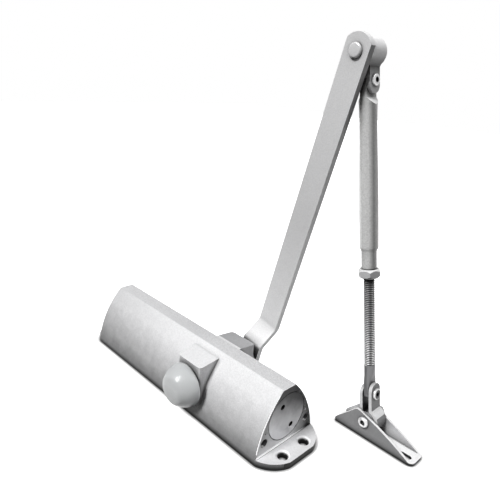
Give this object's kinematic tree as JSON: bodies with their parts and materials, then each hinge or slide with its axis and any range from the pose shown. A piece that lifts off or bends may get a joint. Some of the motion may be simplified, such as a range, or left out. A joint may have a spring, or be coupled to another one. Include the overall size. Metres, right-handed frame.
{
  "type": "door closer",
  "caption": "Surface-mounted hydraulic door closer: arched rack-and-pinion housing with cranked main arm, adjustable forearm and pivoting shoe.",
  "frame": {"origin": "centre of the housing's mounting face, midway between its two end faces", "axes": "+X along the housing towards the end with the speed valves, +Y towards the side that carries the arm, +Z out of the mounting face, away from the door"},
  "size_m": [0.2984, 0.1194, 0.2778],
  "materials": {
    "silver_paint": "satin silver paint with a fine metallic sparkle",
    "arm_paint": "satin silver paint on rolled steel bar",
    "tube_paint": "satin warm grey-silver paint on drawn tube",
    "shoe_paint": "satin silver paint on pressed sheet",
    "plug_metal": "turned face under thin silver paint",
    "zinc_steel": "bright zinc plate",
    "machined_steel": "machined, oiled",
    "cast_piston": "ground, oiled",
    "spring_steel": "oil tempered wire",
    "bronze": "turned",
    "seal_rubber": "moulded",
    "cap_plastic": "translucent natural polyethylene"
  },
  "bodies": {
    "housing": {"housing": "silver_paint", "valve_end_plug": "plug_metal", "spring_end_plug": "plug_metal", "plug_seals": "seal_rubber", "near_spindle_bush": "bronze", "far_spindle_bush": "bronze", "near_gland": "zinc_steel", "far_gland": "zinc_steel", "gland_seals": "seal_rubber", "spindle_cap": "cap_plastic", "main_spring": "spring_steel", "valve_seals": "seal_rubber"},
    "piston": {"rack_piston": "cast_piston", "check_ball": "machined_steel", "ball_retainer": "zinc_steel"},
    "spindle_and_arm": {"pinion_spindle": "machined_steel", "main_arm": "arm_paint", "arm_washer": "zinc_steel", "arm_screw": "zinc_steel", "elbow_rivet": "arm_paint", "elbow_bush": "machined_steel", "elbow_washer": "arm_paint"},
    "elbow_link": {"elbow_strap": "arm_paint", "elbow_cross_pin": "zinc_steel"},
    "forearm": {"forearm_tube": "tube_paint"},
    "lock_nut": {"lock_nut": "tube_paint"},
    "adjusting_rod": {"adjusting_rod": "zinc_steel"},
    "foot_link": {"foot_strap": "arm_paint", "foot_cross_pin": "zinc_steel"},
    "shoe": {"shoe": "shoe_paint", "shoe_screw": "zinc_steel", "foot_bush": "machined_steel", "shoe_nut": "zinc_steel"},
    "sweep_valve": {"sweep_valve": "zinc_steel"},
    "latch_valve": {"latch_valve": "zinc_steel"}
  },
  "joints": [
    {"name": "spindle_turn", "type": "hinge", "parent": "housing", "child": "spindle_and_arm", "pos_m": [0.03, 0, 0.0255], "axis": [0, 1, 0], "range_deg": [0, 160], "stiffness_Nm_per_rad": 3.5, "springref_deg": -40.11},
    {"name": "piston_slide", "type": "slide", "parent": "housing", "child": "piston", "axis": [-1, 0, 0], "range_m": [0, 0.02514], "deforming": ["main_spring"]},
    {"name": "elbow_turn", "type": "hinge", "parent": "spindle_and_arm", "child": "elbow_link", "pos_m": [0.0915, 0.061, 0.26678], "axis": [0, 1, 0], "range_deg": [-150, 0]},
    {"name": "elbow_tilt", "type": "hinge", "parent": "elbow_link", "child": "forearm", "pos_m": [0.0945, 0.061, 0.24954], "axis": [0.9853, 0, 0.1711], "range_deg": [-3, 15]},
    {"name": "lock_nut_turn", "type": "hinge", "parent": "forearm", "child": "lock_nut", "pos_m": [0.11579, 0.061, 0.12688], "axis": [0.1711, 0, -0.9853], "range_deg": [-180, 180]},
    {"name": "rod_extend", "type": "slide", "parent": "forearm", "child": "adjusting_rod", "axis": [0.1711, 0, -0.9853], "range_m": [-0.025, 0.025]},
    {"name": "foot_tilt", "type": "hinge", "parent": "adjusting_rod", "child": "foot_link", "pos_m": [0.13194, 0.061, 0.03389], "axis": [0.9853, 0, 0.1711], "range_deg": [-8, 15]},
    {"name": "foot_turn", "type": "hinge", "parent": "foot_link", "child": "shoe", "pos_m": [0.13553, 0.061, 0.0132], "axis": [0, 1, 0], "range_deg": [-75, 75]},
    {"name": "sweep_valve_turn", "type": "hinge", "parent": "housing", "child": "sweep_valve", "pos_m": [0.10525, -0.0218, 0.015], "axis": [1, 0, 0], "range_deg": [-180, 180]},
    {"name": "latch_valve_turn", "type": "hinge", "parent": "housing", "child": "latch_valve", "pos_m": [0.10525, 0.0218, 0.015], "axis": [1, 0, 0], "range_deg": [-180, 180]}
  ],
  "couplings": [
    {"joint": "piston_slide", "follows": "spindle_turn", "m_per_rad": 0.009}
  ]
}
